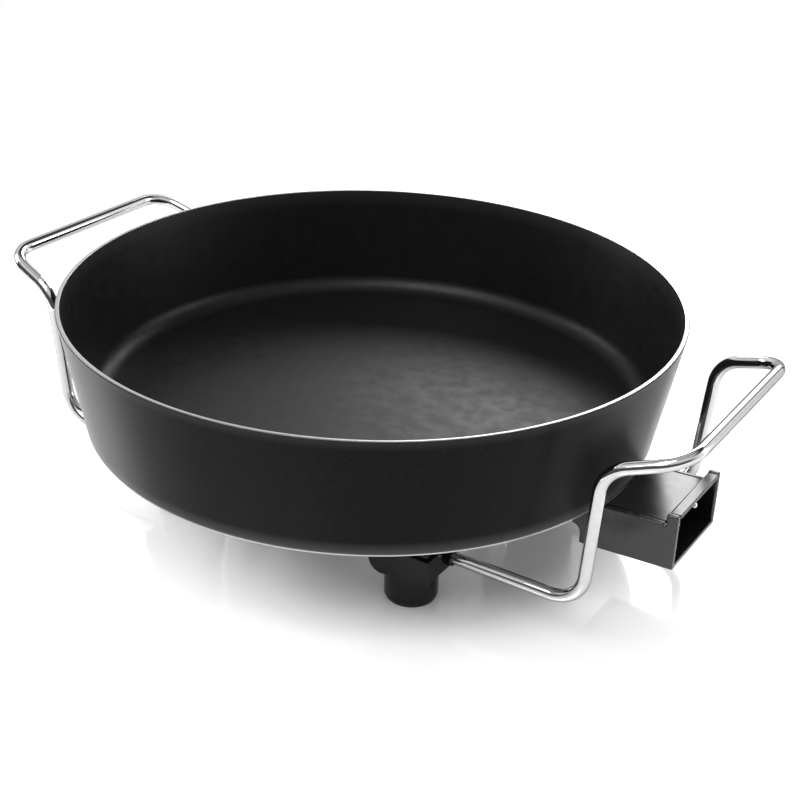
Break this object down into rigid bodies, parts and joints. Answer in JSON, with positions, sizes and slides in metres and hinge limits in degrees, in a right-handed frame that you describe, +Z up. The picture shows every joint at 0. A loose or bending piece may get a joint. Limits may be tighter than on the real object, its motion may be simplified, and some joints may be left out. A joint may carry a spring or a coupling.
{
  "type": "electric party pan",
  "caption": "Round coated electric party pan on moulded feet with bent chrome rod handles and a socket for a plug-in thermostat.",
  "frame": {"origin": "on the pan's axis, on the table under the rubber pads", "axes": "+X towards the plug socket, +Z up out of the pan"},
  "size_m": [0.4542, 0.36, 0.132],
  "materials": {
    "coated_aluminium": "satin black non-stick coating with a bare rim",
    "sheath_steel": "heat-dulled steel sheath",
    "plated_pin": "nickel plated",
    "ceramic_seal": "matt unglazed ceramic",
    "tube_steel": "drawn steel tube",
    "shell_plastic": "fine satin black moulding",
    "cover_plastic": "gloss black moulding",
    "foot_plastic": "semi-gloss black moulding",
    "screw_steel": "zinc plated",
    "pad_rubber": "matt black rubber",
    "chrome_rod": "bright chrome plate"
  },
  "bodies": {
    "root": {"pan_body": "coated_aluminium", "heating_element": "sheath_steel", "terminal_pin_left": "plated_pin", "terminal_pin_right": "plated_pin", "terminal_seal_left": "ceramic_seal", "terminal_seal_right": "ceramic_seal", "probe_tube": "tube_steel", "socket_shell": "shell_plastic", "socket_cover": "cover_plastic", "socket_screws": "screw_steel", "cover_screws": "screw_steel", "foot_front_right": "foot_plastic", "foot_rear_right": "foot_plastic", "foot_front_left": "foot_plastic", "foot_rear_left": "foot_plastic", "foot_screws": "screw_steel", "foot_pads": "pad_rubber", "handle_right": "chrome_rod", "handle_left": "chrome_rod", "rod_screws": "screw_steel"}
  },
  "joints": []
}
